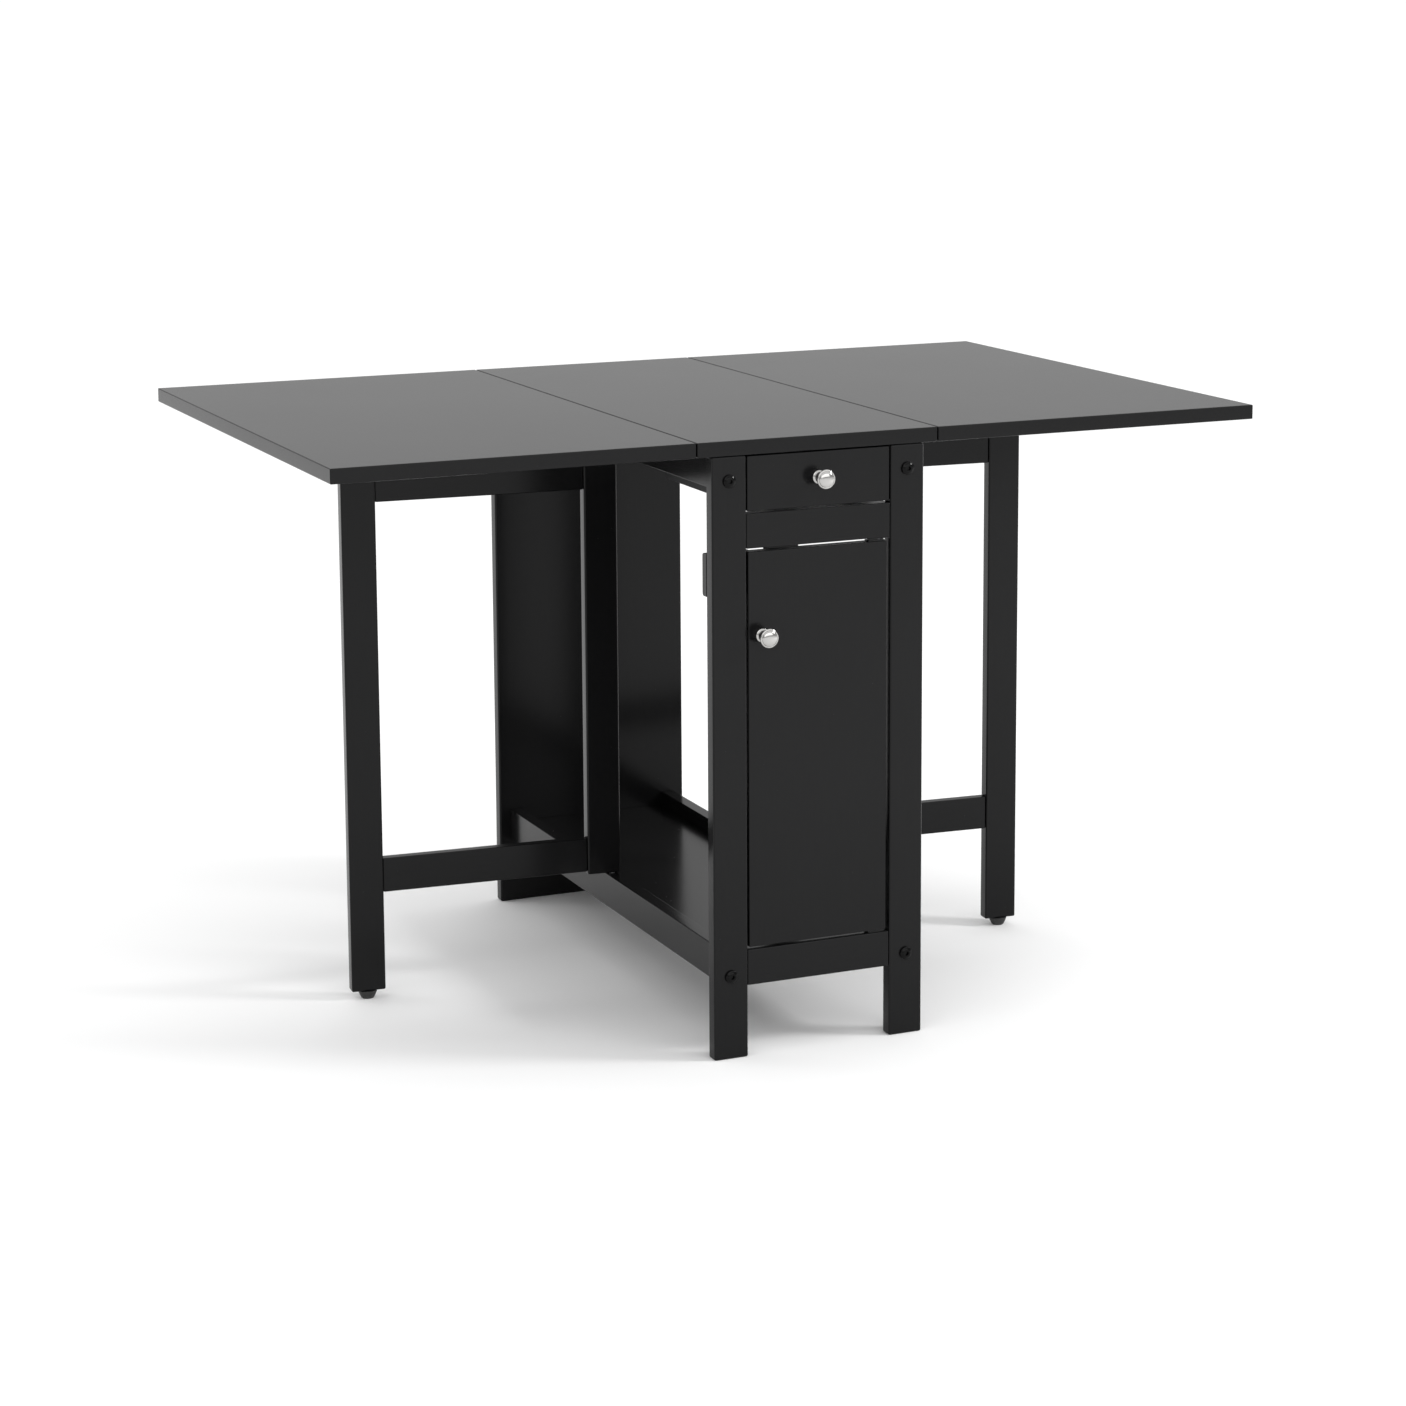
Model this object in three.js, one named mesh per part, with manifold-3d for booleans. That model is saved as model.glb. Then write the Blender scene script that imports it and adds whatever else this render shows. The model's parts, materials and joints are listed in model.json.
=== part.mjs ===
// A gateleg dining table: a narrow cabinet with a drawer and a door carries the middle board of
// the top, and two leaves hinged to it lie on gates that swing out from the cabinet's sides.
// Millimetres, +Z up. X runs from leaf to leaf and the drawer faces -Y.
import * as THREE from "three";
import { mergeVertices } from "three/addons/utils/BufferGeometryUtils.js";
import Module from "manifold-3d";

// ---- Overall sizes ----
const LENGTH = 1200; // leaf tip to leaf tip, leaves up
const DEPTH = 762; // along the seams
const HEIGHT = 750;
const MIDDLE_WIDTH = 313; // the fixed board between the seams
const BOARD = 18; // every board of the top and the frame
const FIT = 0.3; // between two pieces that touch
const SEAM = 1.5; // between the middle board and a leaf
const BORE_PLAY = 2 * FIT; // a bore's diameter over its pin's
const PAST = 1; // a cut runs this far past the face that it opens
const DISC_SIDES = 20;

// ---- Cabinet frame ----
const FRAME_WIDTH = 277; // over the posts and the end panel
const POST_WIDTH = 44;
const APRON_HEIGHT = 43.5;
const APRON_SETBACK = 15; // from a post's outer face to an apron's
const RAIL_HEIGHT = 44;
const RAIL_CLEARANCE = 88.5; // from the floor to the lower rails
const UPPER_RAIL_HEIGHT = 42;
const SHELF_THICKNESS = 12;
const SHELF_DROP = 18; // from the lower rails' top edge to the shelf
const FRONT_RECESS = 1; // drawer, door and front rails lie this far behind the posts

// ---- Drawer ----
const DRAWER_OPENING = 69.7; // from the upper rail to the top's underside
const DRAWER_GAP = 1.5; // round the drawer front
const DRAWER_FOOT_GAP = 2.7; // below the drawer front
const FRONT_STOP = 1; // from the back of the drawer front or door to the plane behind the posts
const DRAWER_LENGTH = 235; // behind the drawer front
const DRAWER_SIDE = 12;
const DRAWER_SIDE_INSET = 4; // from the posts' inner faces to the drawer sides
const DRAWER_SIDE_HEIGHT = 58;
const DRAWER_SIDE_LIFT = 3; // from the drawer front's lower edge to its sides
const DRAWER_BOTTOM = 4;
const BOTTOM_LIFT = 6; // from the sides' lower edge to the bottom panel
const GROOVE_DEPTH = 5;
const RUNNER_HEIGHT = 12;
const RUNNER_PLAY = 0.6; // above and below a runner in its groove
const RUNNER_GROOVE_DEPTH = 6;
const RUNNER_LENGTH = 230;

// ---- Door ----
const DOOR_TOP_GAP = 4;
const DOOR_FOOT_GAP = 3;
const DOOR_FREE_GAP = 2.5; // beside the knob
const DOOR_PIVOT_GAP = 4.5; // beside the pivots
const DOOR_PIVOT_INSET = 7; // from the door's edge to its axis
const DOOR_PIN = 4;
const DOOR_PIN_DEPTH = 12;
const PIVOT_PLATE = { length: 22, width: 12, thickness: 1 };
// The block behind the left post: drop is from the door's top edge to the block's.
const CATCH = { width: 56, height: 51.5, thickness: 11, round: 4, drop: 1 };
const MAGNET = { diameter: 10, thickness: 4, inset: 5 }; // inset from the door's free edge
const STRIKE_THICKNESS = 1.5;

// ---- Knobs ----
const KNOB = { head: 23.5, base: 16.5, neck: 9, reach: 24 };
const KNOB_SCREW = 4.5; // the hole for the knob's screw
const DRAWER_KNOB_RISE = 2; // above the drawer front's centre
const DOOR_KNOB_INSET = 18; // from the door's free edge
const DOOR_KNOB_DROP = 101; // from the door's top edge

// ---- Leaf hinges ----
const HINGE = { length: 60, wing: 28, thickness: 2, knuckle: 5.6, pin: 3, screw: 4 };
const HINGE_SCREW_REACH = 18.2; // from the pin to the screws' line
const HINGE_INSET = 150; // from the top's end to a hinge's centre
const KNUCKLE_GAP = 0.4; // between knuckles, end to end
const WING_GAP = 0.6; // between a wing and the other wing's knuckles

// ---- Connecting bolts ----
const BOLT = { head: 16, headHeight: 4, shank: 6, length: 60, socket: 5 };
const BOLT_END_PLAY = 2; // beyond a bolt's tip
const BOLT_OUTWARD = 2; // from the middle of an apron's thickness
const BOLT_RISE = 14; // above the lower edge of the apron or rail it holds

// ---- Gates ----
const PIVOT_OFFSET = 5; // the pivots' distance from the middle of the depth
const FOLD_CLEARANCE = 8; // between a folded gate and the frame's end
const GATE_REST_ANGLE = 4.2; // degrees past square, as the gates stand
const GATE_RAIL_THICKNESS = 14;
const GATE_RAIL_HEIGHT = 44;
const GATE_RAIL_LIFT = 4; // from an inner post's end to the nearer rail
const PIVOT_GAP = 1.5; // above and below an inner post
const PIVOT_PIN = 8;
const PIN_DEPTH = 20; // of a pin in each piece it joins
const GLIDE = { height: 10.6, top: 24, bottom: 17.5, stem: 4, stemLength: 22 };

// ---- Places worked out from the sizes ----
const UNDERSIDE = HEIGHT - BOARD;
const FRONT = -DEPTH / 2;
const POST_BACK = FRONT + BOARD;
const PANEL_FRONT = DEPTH / 2 - BOARD;
const FRAME_HALF = FRAME_WIDTH / 2;
const POST_INNER = FRAME_HALF - POST_WIDTH;
const APRON_OUTER = FRAME_HALF - APRON_SETBACK;
const APRON_INNER = APRON_OUTER - BOARD;
const APRON_MIDDLE = (APRON_OUTER + APRON_INNER) / 2;
const APRON_BOTTOM = UNDERSIDE - APRON_HEIGHT;
const RAIL_TOP = RAIL_CLEARANCE + RAIL_HEIGHT;
const UPPER_RAIL_TOP = UNDERSIDE - DRAWER_OPENING;
const UPPER_RAIL_BOTTOM = UPPER_RAIL_TOP - UPPER_RAIL_HEIGHT;
const FACE = FRONT + FRONT_RECESS;
const FACE_BACK = POST_BACK - FRONT_STOP;
const SEAM_X = (MIDDLE_WIDTH + SEAM) / 2;
const BOLT_X = APRON_MIDDLE + BOLT_OUTWARD;
const BOLT_HEIGHTS = { lower: RAIL_CLEARANCE + BOLT_RISE, upper: APRON_BOTTOM + BOLT_RISE };
const GATE_REACH = DEPTH / 2 - BOARD - PIVOT_OFFSET - FOLD_CLEARANCE;
const SIDES = { left: -1, right: 1 };
const ENDS = { near: -1, far: 1 };

// ---- Finishes ----
const FINISH = {
  lacquer: new THREE.MeshStandardMaterial({ color: 0x18181a, roughness: 0.38, metalness: 0 }),
  inner: new THREE.MeshStandardMaterial({ color: 0x1d1d1f, roughness: 0.5, metalness: 0 }),
  nickel: new THREE.MeshStandardMaterial({ color: 0xc9c9c6, roughness: 0.25, metalness: 1 }),
  steel: new THREE.MeshStandardMaterial({ color: 0x8f9193, roughness: 0.35, metalness: 1 }),
  blackSteel: new THREE.MeshStandardMaterial({ color: 0x111112, roughness: 0.3, metalness: 0.9 }),
  plastic: new THREE.MeshStandardMaterial({ color: 0x141414, roughness: 0.55, metalness: 0 }),
};

const wasm = await Module();
wasm.setup();

// ---- Shapes ----

function toSolid(geometry) {
  const bare = geometry.clone();
  bare.deleteAttribute("normal");
  bare.deleteAttribute("uv");
  const merged = mergeVertices(bare, 1e-4);
  const mesh = new wasm.Mesh({
    numProp: 3,
    vertProperties: merged.getAttribute("position").array,
    triVerts: new Uint32Array(merged.index.array),
  });
  return new wasm.Manifold(mesh);
}

function toGeometry(solid) {
  const mesh = solid.getMesh();
  const geometry = new THREE.BufferGeometry();
  geometry.setAttribute("position", new THREE.BufferAttribute(mesh.vertProperties, 3));
  geometry.setIndex(new THREE.BufferAttribute(mesh.triVerts, 1));
  const faceted = geometry.toNonIndexed();
  faceted.computeVertexNormals();
  return faceted;
}

function join(first, ...rest) {
  return toGeometry(rest.reduce((solid, next) => solid.add(toSolid(next)), toSolid(first)));
}

function cut(stock, ...tools) {
  return toGeometry(tools.reduce((solid, tool) => solid.subtract(toSolid(tool)), toSolid(stock)));
}

// A closed box from one [low, high] pair for each axis.
function box([x0, x1], [y0, y1], [z0, z1]) {
  const geometry = new THREE.BoxGeometry(x1 - x0, y1 - y0, z1 - z0);
  return geometry.translate((x0 + x1) / 2, (y0 + y1) / 2, (z0 + z1) / 2);
}

// A round bar about a line parallel to Y, from y0 to y1.
function barY(diameter, x, z, [y0, y1], segments = 16) {
  const geometry = new THREE.CylinderGeometry(diameter / 2, diameter / 2, y1 - y0, segments);
  return geometry.translate(x, (y0 + y1) / 2, z);
}

// A round bar about a line parallel to Z, from z0 to z1.
function barZ(diameter, x, y, [z0, z1], segments = 16) {
  const geometry = new THREE.CylinderGeometry(diameter / 2, diameter / 2, z1 - z0, segments);
  return geometry.rotateX(Math.PI / 2).translate(x, y, (z0 + z1) / 2);
}

// A shape turned about Z from [radius, height] points, listed upwards from the axis to the axis.
function turned(points, segments) {
  const profile = points.map(([radius, height]) => new THREE.Vector2(radius, height));
  return new THREE.LatheGeometry(profile, segments).rotateX(Math.PI / 2);
}

function named(name, geometry, finish) {
  const mesh = new THREE.Mesh(geometry, finish);
  mesh.name = name;
  return mesh;
}

// A board that fills three [low, high] ranges, less the tools, which share its parent's frame.
function board(name, finish, x, y, z, ...tools) {
  const middle = [x, y, z].map(([low, high]) => (low + high) / 2);
  const whole = box(x, y, z);
  const shape = tools.length ? cut(whole, ...tools) : whole;
  const mesh = named(name, shape.translate(...middle.map((value) => -value)), finish);
  mesh.position.set(...middle);
  return mesh;
}

// The [low, high] range between two distances from the middle plane, on one side of it.
function onSide(side, inner, outer) {
  return side > 0 ? [inner, outer] : [-outer, -inner];
}

// ---- Top ----

function middleBoard() {
  const half = MIDDLE_WIDTH / 2;
  return board("centre_top", FINISH.lacquer, [-half, half], [FRONT, -FRONT], [UNDERSIDE, HEIGHT]);
}

function leaf(sideName) {
  const x = onSide(SIDES[sideName], MIDDLE_WIDTH / 2 + SEAM, LENGTH / 2);
  return board(`leaf_${sideName}`, FINISH.lacquer, x, [FRONT, -FRONT], [UNDERSIDE, HEIGHT]);
}

// ---- Butt hinges under the seams. Each is built about its own pin, which runs along Y. ----

// One wing with its knuckles at the given [low, high] stretches, on the side named by wingSide.
function hingeWing(wingSide, stretches) {
  const radius = HINGE.knuckle / 2;
  const top = radius;
  const half = HINGE.length / 2;
  const plateHeight = [top - HINGE.thickness, top];
  const root = radius + WING_GAP;
  const plate = box(onSide(wingSide, root, HINGE.wing), [-half, half], plateHeight);
  const parts = stretches.flatMap((stretch) => [
    box(onSide(wingSide, 0, root + FIT), stretch, plateHeight),
    barY(HINGE.knuckle, 0, 0, stretch),
  ]);
  const holes = [-1, 0, 1].map((step) =>
    barZ(
      HINGE.screw, wingSide * HINGE_SCREW_REACH, (step * HINGE.length) / 3, [-radius, top + PAST],
    ),
  );
  return cut(join(plate, ...parts), ...holes);
}

function hinge(sideName, endName) {
  const side = SIDES[sideName];
  const half = HINGE.length / 2;
  const third = HINGE.length / 6;
  const outer = [
    [-half, -third - KNUCKLE_GAP],
    [third + KNUCKLE_GAP, half],
  ];
  const pin = barY(HINGE.pin, 0, 0, [-half, half]);
  const bore = barY(HINGE.pin + BORE_PLAY, 0, 0, [-half, half]);
  const fixed = join(hingeWing(-side, outer), pin);
  const moving = cut(hingeWing(side, [[-third, third]]), bore);
  const group = new THREE.Group();
  const name = `${sideName}_${endName}`;
  group.add(named(`hinge_fixed_${name}`, fixed, FINISH.blackSteel));
  group.add(named(`hinge_moving_${name}`, moving, FINISH.blackSteel));
  const reach = DEPTH / 2 - HINGE_INSET;
  group.position.set(side * SEAM_X, ENDS[endName] * reach, UNDERSIDE - FIT - HINGE.knuckle / 2);
  return group;
}

// ---- Cabinet frame ----

function boltHoles(side, y) {
  const heights = Object.values(BOLT_HEIGHTS);
  return heights.map((z) => barY(BOLT.shank + BORE_PLAY, side * BOLT_X, z, y));
}

function frontPost(sideName) {
  const side = SIDES[sideName];
  const x = onSide(side, POST_INNER, FRAME_HALF);
  const holes = boltHoles(side, [FRONT - PAST, POST_BACK + PAST]);
  return board(
    `front_post_${sideName}`, FINISH.lacquer, x, [FRONT, POST_BACK], [0, UNDERSIDE - FIT], ...holes,
  );
}

function endPanel() {
  const holes = Object.values(SIDES).flatMap((side) =>
    boltHoles(side, [PANEL_FRONT - PAST, DEPTH / 2 + PAST]),
  );
  return board(
    "end_panel", FINISH.lacquer,
    [-FRAME_HALF, FRAME_HALF], [PANEL_FRONT, DEPTH / 2], [0, UNDERSIDE - FIT], ...holes,
  );
}

// An apron or a lower rail, which runs from a front post to the end panel. The bolts enter its
// ends, and a gate's pivot pin enters the edge at pinEdge.
function longRail(name, side, z, boltHeight, pinEdge) {
  const y = [POST_BACK + FIT, PANEL_FRONT - FIT];
  const depth = BOLT.length - BOARD + BOLT_END_PLAY;
  const bore = BOLT.shank + BORE_PLAY;
  const pinReach = PIN_DEPTH + PAST;
  const holes = [
    barY(bore, side * BOLT_X, boltHeight, [y[0] - PAST, y[0] + depth]),
    barY(bore, side * BOLT_X, boltHeight, [y[1] - depth, y[1] + PAST]),
    barZ(
      PIVOT_PIN + BORE_PLAY, side * APRON_MIDDLE, PIVOT_OFFSET,
      [pinEdge - pinReach, pinEdge + pinReach],
    ),
  ];
  return board(name, FINISH.lacquer, onSide(side, APRON_INNER, APRON_OUTER), y, z, ...holes);
}

function apron(sideName) {
  const z = [APRON_BOTTOM, UNDERSIDE - FIT];
  return longRail(`apron_${sideName}`, SIDES[sideName], z, BOLT_HEIGHTS.upper, APRON_BOTTOM);
}

function sideRail(sideName) {
  const z = [RAIL_CLEARANCE, RAIL_TOP];
  return longRail(`side_rail_${sideName}`, SIDES[sideName], z, BOLT_HEIGHTS.lower, RAIL_TOP);
}

function frontRail(name, z) {
  const half = POST_INNER - FIT;
  return board(name, FINISH.lacquer, [-half, half], [FACE, POST_BACK], z);
}

function shelf() {
  const half = APRON_INNER - FIT;
  const top = RAIL_TOP - SHELF_DROP;
  return board(
    "bottom_shelf", FINISH.lacquer,
    [-half, half], [POST_BACK + FIT, PANEL_FRONT - FIT], [top - SHELF_THICKNESS, top],
  );
}

// A bolt along Y with a domed head and a six-sided socket, its head facing the given end.
function bolt(sideName, endName, level) {
  const radius = BOLT.head / 2;
  const rise = BOLT.headHeight;
  const solid = turned(
    [
      [0, -BOLT.length],
      [BOLT.shank / 2, -BOLT.length],
      [BOLT.shank / 2, 0],
      [radius, 0],
      [radius, rise * 0.35],
      [radius * 0.85, rise * 0.7],
      [radius * 0.55, rise],
      [0, rise],
    ],
    20,
  );
  const socket = barZ(BOLT.socket, 0, 0, [rise * 0.35, rise * 2], 6);
  const mesh = named(`bolt_${level}_${sideName}_${endName}`, cut(solid, socket), FINISH.blackSteel);
  const end = ENDS[endName];
  mesh.rotation.x = (-end * Math.PI) / 2;
  mesh.position.set(SIDES[sideName] * BOLT_X, end * (DEPTH / 2 + FIT), BOLT_HEIGHTS[level]);
  return mesh;
}

// ---- Drawer ----

const DRAWER_FRONT_BOTTOM = UPPER_RAIL_TOP + DRAWER_FOOT_GAP;
const SIDE_BOTTOM = DRAWER_FRONT_BOTTOM + DRAWER_SIDE_LIFT;
const SIDE_OUTER = POST_INNER - DRAWER_SIDE_INSET;
const SIDE_INNER = SIDE_OUTER - DRAWER_SIDE;
const RUNNER_BOTTOM = SIDE_BOTTOM + DRAWER_SIDE_HEIGHT / 2;
const BOTTOM_PANEL = [SIDE_BOTTOM + BOTTOM_LIFT, SIDE_BOTTOM + BOTTOM_LIFT + DRAWER_BOTTOM];
const DRAWER_BACK = FACE_BACK + FIT + DRAWER_LENGTH;

function drawerRunner(sideName) {
  const inner = SIDE_OUTER - RUNNER_GROOVE_DEPTH + RUNNER_PLAY;
  const x = onSide(SIDES[sideName], inner, APRON_INNER - FIT);
  const y = [POST_BACK + FIT, POST_BACK + FIT + RUNNER_LENGTH];
  const z = [RUNNER_BOTTOM, RUNNER_BOTTOM + RUNNER_HEIGHT];
  return board(`drawer_runner_${sideName}`, FINISH.inner, x, y, z);
}

function drawerFront() {
  const half = POST_INNER - DRAWER_GAP;
  const z = [DRAWER_FRONT_BOTTOM, UNDERSIDE - DRAWER_GAP];
  const knobHeight = (z[0] + z[1]) / 2 + DRAWER_KNOB_RISE;
  const hole = barY(KNOB_SCREW, 0, knobHeight, [FACE - PAST, FACE_BACK + PAST]);
  return board("drawer_front", FINISH.lacquer, [-half, half], [FACE, FACE_BACK], z, hole);
}

function drawerSide(sideName) {
  const side = SIDES[sideName];
  const y = [FACE_BACK + FIT, DRAWER_BACK];
  const past = [y[0] - PAST, y[1] + PAST];
  const runnerGroove = box(
    onSide(side, SIDE_OUTER - RUNNER_GROOVE_DEPTH, SIDE_OUTER + PAST), past,
    [RUNNER_BOTTOM - RUNNER_PLAY, RUNNER_BOTTOM + RUNNER_HEIGHT + RUNNER_PLAY],
  );
  const bottomGroove = box(
    onSide(side, SIDE_INNER - PAST, SIDE_INNER + GROOVE_DEPTH), past,
    [BOTTOM_PANEL[0] - FIT, BOTTOM_PANEL[1] + FIT],
  );
  return board(
    `drawer_side_${sideName}`, FINISH.inner, onSide(side, SIDE_INNER, SIDE_OUTER), y,
    [SIDE_BOTTOM, SIDE_BOTTOM + DRAWER_SIDE_HEIGHT], runnerGroove, bottomGroove,
  );
}

function drawerBack() {
  const half = SIDE_INNER - FIT;
  const y = [DRAWER_BACK - DRAWER_SIDE, DRAWER_BACK];
  const z = [BOTTOM_PANEL[1] + FIT, SIDE_BOTTOM + DRAWER_SIDE_HEIGHT];
  return board("drawer_back", FINISH.inner, [-half, half], y, z);
}

function drawerBottom() {
  const half = SIDE_INNER + GROOVE_DEPTH - FIT;
  const y = [FACE_BACK + FIT, DRAWER_BACK];
  return board("drawer_bottom", FINISH.inner, [-half, half], y, BOTTOM_PANEL);
}

// A mushroom knob on a small flange, its axis pointing out of the front.
function knob(name, x, z) {
  const { head, base, neck, reach } = KNOB;
  const solid = turned(
    [
      [0, 0],
      [base / 2, 0],
      [base / 2, reach * 0.08],
      [neck * 0.62, reach * 0.2],
      [neck / 2, reach * 0.42],
      [neck * 0.65, reach * 0.58],
      [head * 0.42, reach * 0.7],
      [head / 2, reach * 0.79],
      [head / 2, reach * 0.88],
      [head * 0.44, reach * 0.95],
      [head * 0.22, reach * 0.99],
      [0, reach],
    ],
    24,
  );
  const mesh = named(name, solid, FINISH.nickel);
  mesh.rotation.x = Math.PI / 2;
  mesh.position.set(x, FACE - FIT, z);
  return mesh;
}

// ---- Door ----

const DOOR_FREE = -(POST_INNER - DOOR_FREE_GAP);
const DOOR_HUNG = POST_INNER - DOOR_PIVOT_GAP;
const DOOR_HEIGHTS = [RAIL_TOP + DOOR_FOOT_GAP, UPPER_RAIL_BOTTOM - DOOR_TOP_GAP];
const DOOR_AXIS = { x: DOOR_HUNG - DOOR_PIVOT_INSET, y: (FACE + FACE_BACK) / 2 };
const MAGNET_X = DOOR_FREE + MAGNET.inset + MAGNET.diameter / 2;
const MAGNET_Z = DOOR_HEIGHTS[1] - CATCH.drop - CATCH.height / 2;
const DOOR_KNOB = { x: DOOR_FREE + DOOR_KNOB_INSET, z: DOOR_HEIGHTS[1] - DOOR_KNOB_DROP };

function door() {
  const [foot, top] = DOOR_HEIGHTS;
  const bore = DOOR_PIN + BORE_PLAY;
  const depth = DOOR_PIN_DEPTH + PAST;
  const tools = [
    barZ(bore, DOOR_AXIS.x, DOOR_AXIS.y, [foot - PAST, foot + depth]),
    barZ(bore, DOOR_AXIS.x, DOOR_AXIS.y, [top - depth, top + PAST]),
    barY(KNOB_SCREW, DOOR_KNOB.x, DOOR_KNOB.z, [FACE - PAST, FACE_BACK + PAST]),
    barY(
      MAGNET.diameter + BORE_PLAY, MAGNET_X, MAGNET_Z,
      [FACE_BACK - STRIKE_THICKNESS - FIT, FACE_BACK + PAST],
    ),
  ];
  return board(
    "door_panel", FINISH.lacquer,
    [DOOR_FREE, DOOR_HUNG], [FACE, FACE_BACK], DOOR_HEIGHTS, ...tools,
  );
}

function strike() {
  const y = [FACE_BACK - STRIKE_THICKNESS, FACE_BACK];
  const disc = barY(MAGNET.diameter, MAGNET_X, MAGNET_Z, y, DISC_SIDES);
  return named("door_strike", disc, FINISH.steel);
}

// A pivot plate about the door's axis, with its lower face at z0.
function pivotPlate(z0) {
  const { length, width, thickness } = PIVOT_PLATE;
  const x = [DOOR_AXIS.x - length + width / 2, DOOR_AXIS.x + width / 2];
  return box(x, [DOOR_AXIS.y - width / 2, DOOR_AXIS.y + width / 2], [z0, z0 + thickness]);
}

// The plate on the rail carries the pin, which passes through the plate on the door into the door.
function framePivot(levelName) {
  const upper = levelName === "top";
  const { thickness } = PIVOT_PLATE;
  const start = upper ? UPPER_RAIL_BOTTOM - FIT - thickness : RAIL_TOP + FIT;
  const pin = upper
    ? [DOOR_HEIGHTS[1] - DOOR_PIN_DEPTH, start + thickness]
    : [start, DOOR_HEIGHTS[0] + DOOR_PIN_DEPTH];
  const shape = join(pivotPlate(start), barZ(DOOR_PIN, DOOR_AXIS.x, DOOR_AXIS.y, pin));
  return named(`door_pivot_${levelName}`, shape, FINISH.blackSteel);
}

function doorPlate(levelName) {
  const { thickness } = PIVOT_PLATE;
  const start = levelName === "top" ? DOOR_HEIGHTS[1] + FIT : DOOR_HEIGHTS[0] - FIT - thickness;
  const through = [start - PAST, start + thickness + PAST];
  const bore = barZ(DOOR_PIN + BORE_PLAY, DOOR_AXIS.x, DOOR_AXIS.y, through);
  return named(`door_plate_${levelName}`, cut(pivotPlate(start), bore), FINISH.blackSteel);
}

// The block behind the left post that stops the door, rounded on its rear edges.
function catchBlock() {
  const { width, height, thickness, round } = CATCH;
  const half = height / 2;
  const profile = new THREE.Shape();
  profile.moveTo(0, -half);
  profile.lineTo(thickness - round, -half);
  profile.absarc(thickness - round, round - half, round, -Math.PI / 2, 0);
  profile.lineTo(thickness, half - round);
  profile.absarc(thickness - round, half - round, round, 0, Math.PI / 2);
  profile.lineTo(0, half);
  const settings = { depth: width, bevelEnabled: false, curveSegments: 5 };
  const stock = new THREE.ExtrudeGeometry(profile, settings);
  // Shape x becomes Y, shape y becomes Z, and the depth runs along X.
  stock.applyMatrix4(new THREE.Matrix4().set(0, 0, 1, 0, 1, 0, 0, 0, 0, 1, 0, 0, 0, 0, 0, 1));
  const seat = barY(
    MAGNET.diameter + BORE_PLAY, MAGNET_X + FRAME_HALF, 0, [-PAST, MAGNET.thickness + FIT],
  );
  const mesh = named("door_catch_block", cut(stock, seat), FINISH.lacquer);
  mesh.position.set(-FRAME_HALF, POST_BACK + FIT, MAGNET_Z);
  return mesh;
}

function magnet() {
  const y = [POST_BACK + FIT, POST_BACK + FIT + MAGNET.thickness];
  const disc = barY(MAGNET.diameter, MAGNET_X, MAGNET_Z, y, DISC_SIDES);
  return named("catch_magnet", disc, FINISH.steel);
}

// ---- Gates. Each is built about its pivot, reaching along +X, and turned to its place. ----

const INNER_POST = [-BOARD / 2, POST_WIDTH - BOARD / 2];
const INNER_POST_HEIGHTS = [RAIL_TOP + PIVOT_GAP, APRON_BOTTOM - PIVOT_GAP];
const GATE_THICKNESS = [-BOARD / 2, BOARD / 2];

function gateInnerPost(sideName) {
  const [foot, top] = INNER_POST_HEIGHTS;
  const bore = PIVOT_PIN + BORE_PLAY;
  const depth = PIN_DEPTH + PAST;
  return board(
    `gate_inner_post_${sideName}`, FINISH.lacquer, INNER_POST, GATE_THICKNESS, INNER_POST_HEIGHTS,
    barZ(bore, 0, 0, [foot - PAST, foot + depth]),
    barZ(bore, 0, 0, [top - depth, top + PAST]),
  );
}

function gateOuterLeg(sideName) {
  const x = [GATE_REACH - POST_WIDTH, GATE_REACH];
  const middle = GATE_REACH - POST_WIDTH / 2;
  const hole = barZ(
    GLIDE.stem + BORE_PLAY, middle, 0, [0, GLIDE.height + GLIDE.stemLength + PAST],
  );
  return board(
    `gate_leg_${sideName}`, FINISH.lacquer, x, GATE_THICKNESS,
    [GLIDE.height + FIT, UNDERSIDE - FIT], hole,
  );
}

function gateRail(name, z) {
  const half = GATE_RAIL_THICKNESS / 2;
  const x = [INNER_POST[1] + FIT, GATE_REACH - POST_WIDTH - FIT];
  return board(name, FINISH.lacquer, x, [-half, half], z);
}

function pivotPin(name, middle) {
  const half = PIN_DEPTH + PIVOT_GAP / 2;
  const pin = barZ(PIVOT_PIN, 0, 0, [middle - half, middle + half], DISC_SIDES);
  return named(name, pin, FINISH.steel);
}

// The plastic glide under a gate's leg, with the stem that holds it.
function glide(sideName) {
  const { height, top, bottom, stem, stemLength } = GLIDE;
  const solid = turned(
    [
      [0, 0],
      [bottom * 0.36, 0],
      [bottom / 2, height * 0.12],
      [(bottom * 0.4 + top * 0.6) / 2, height * 0.5],
      [top / 2, height * 0.86],
      [top / 2, height],
      [stem / 2, height],
      [stem / 2, height + stemLength],
      [0, height + stemLength],
    ],
    24,
  );
  const mesh = named(`gate_glide_${sideName}`, solid, FINISH.plastic);
  mesh.position.x = GATE_REACH - POST_WIDTH / 2;
  return mesh;
}

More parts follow.
